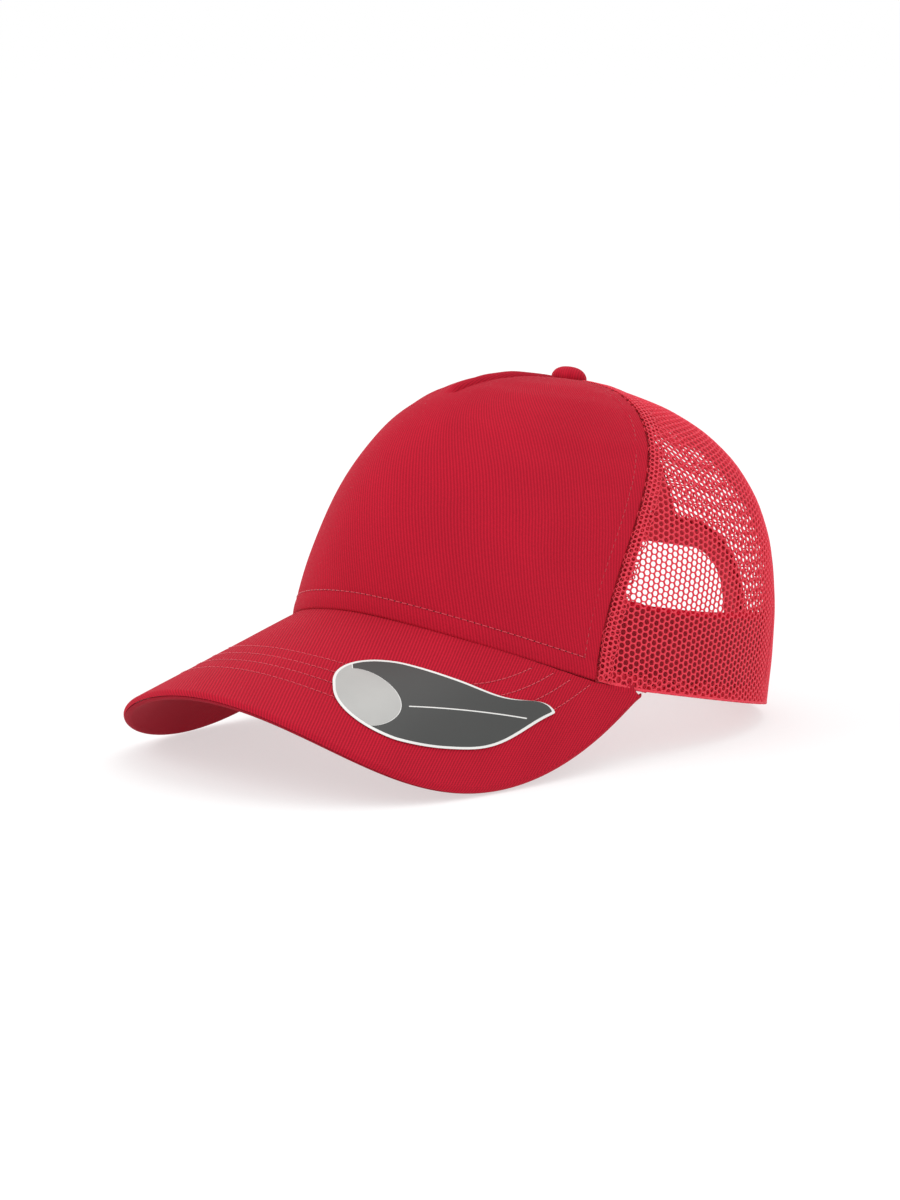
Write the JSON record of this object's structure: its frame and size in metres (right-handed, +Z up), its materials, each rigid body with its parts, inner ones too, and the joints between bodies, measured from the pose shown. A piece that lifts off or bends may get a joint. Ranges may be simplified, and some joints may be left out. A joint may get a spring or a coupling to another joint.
{
  "type": "trucker mesh cap",
  "caption": "Trucker cap with a twill front panel and curved visor, open mesh sides and back, and a two-part snap strap across the rear opening.",
  "frame": {"origin": "on the surface the cap rests on, at the middle of its bounding box", "axes": "+Z up, -Y towards the visor's front, +X towards the wearer's left; the cap rests tipped back 11.6 degrees on its visor tips and back hem"},
  "size_m": [0.1582, 0.2696, 0.1326],
  "materials": {
    "twill": "matte cotton twill",
    "net": "knitted polyester net with a soft sheen",
    "tape": "matte woven tape",
    "backing": "matte stiff non-woven",
    "label": "satin, blank",
    "board": "matte sheet",
    "sticker": "satin film with a silver edge",
    "strap": "moulded, semi-gloss",
    "metal": "plain stamped"
  },
  "bodies": {
    "cap": {"front_panel": "twill", "front_backing": "backing", "side_mesh_left": "net", "side_mesh_right": "net", "back_mesh_left": "net", "back_mesh_right": "net", "dart_tape": "tape", "front_seam_tape_left": "tape", "front_seam_tape_right": "tape", "side_seam_tape_left": "tape", "side_seam_tape_right": "tape", "back_seam_tape": "tape", "arch_binding": "tape", "sweatband": "twill", "sweatband_interlining": "tape", "care_label": "label", "visor_top_cover": "twill", "visor_board": "board", "visor_under_cover": "twill", "visor_sticker": "sticker", "button_cover": "twill", "button_shell": "metal", "button_rivet": "metal", "button_backplate": "metal"},
    "holed_strap": {"strap_holes": "strap"},
    "pegged_strap": {"strap_pegs": "strap"}
  },
  "joints": [
    {"name": "holed_strap_swing", "type": "hinge", "parent": "cap", "child": "holed_strap", "pos_m": [0.02184, 0.13092, 0.01139], "axis": [-0.0082, 0.085, -0.9963], "range_deg": [0, 95]},
    {"name": "pegged_strap_swing", "type": "hinge", "parent": "cap", "child": "pegged_strap", "pos_m": [-0.03516, 0.12504, 0.01248], "axis": [0.0223, 0.0375, -0.999], "range_deg": [0, 60]}
  ]
}
